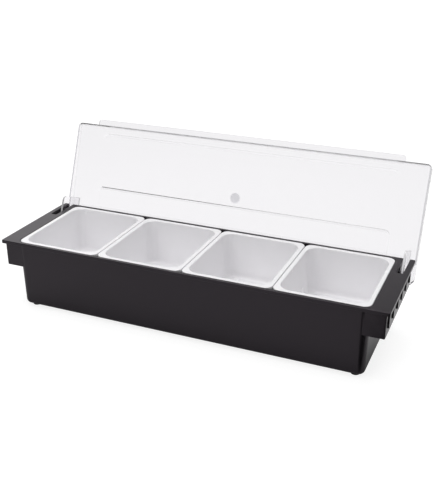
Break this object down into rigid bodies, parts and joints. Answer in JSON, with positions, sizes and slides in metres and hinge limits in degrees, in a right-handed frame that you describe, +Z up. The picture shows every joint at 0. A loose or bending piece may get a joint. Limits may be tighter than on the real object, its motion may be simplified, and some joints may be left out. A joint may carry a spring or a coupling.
{
  "type": "condiment caddy",
  "caption": "Long stepped tub with a row of lift-out trays and one clear lid hinged along the back, shown open; hollow grip ears at both ends.",
  "frame": {"origin": "centre of the tub's footprint on the plane that the four feet rest on", "axes": "+X along the caddy's length, +Y to the back, where the lid is hinged, +Z up"},
  "size_m": [0.5, 0.2063, 0.2038],
  "materials": {
    "black_plastic": "fine satin mould texture",
    "clear_plastic": "clear, polished mould",
    "white_plastic": "smooth moulded",
    "foot_rubber": "matt"
  },
  "bodies": {
    "caddy": {"base": "black_plastic", "foot_1": "foot_rubber", "foot_2": "foot_rubber", "foot_3": "foot_rubber", "foot_4": "foot_rubber"},
    "lid": {"lid": "clear_plastic"},
    "tray_1": {"tray_1": "white_plastic"},
    "tray_2": {"tray_2": "white_plastic"},
    "tray_3": {"tray_3": "white_plastic"},
    "tray_4": {"tray_4": "white_plastic"}
  },
  "joints": [
    {"name": "lid_hinge", "type": "hinge", "parent": "caddy", "child": "lid", "pos_m": [0, 0.061, 0.0765], "axis": [-1, 0, 0], "range_deg": [-112, 0]},
    {"name": "tray_1_lift", "type": "slide", "parent": "caddy", "child": "tray_1", "axis": [0, 0, 1], "range_m": [0, 0.11]},
    {"name": "tray_2_lift", "type": "slide", "parent": "caddy", "child": "tray_2", "axis": [0, 0, 1], "range_m": [0, 0.11]},
    {"name": "tray_3_lift", "type": "slide", "parent": "caddy", "child": "tray_3", "axis": [0, 0, 1], "range_m": [0, 0.11]},
    {"name": "tray_4_lift", "type": "slide", "parent": "caddy", "child": "tray_4", "axis": [0, 0, 1], "range_m": [0, 0.11]}
  ]
}
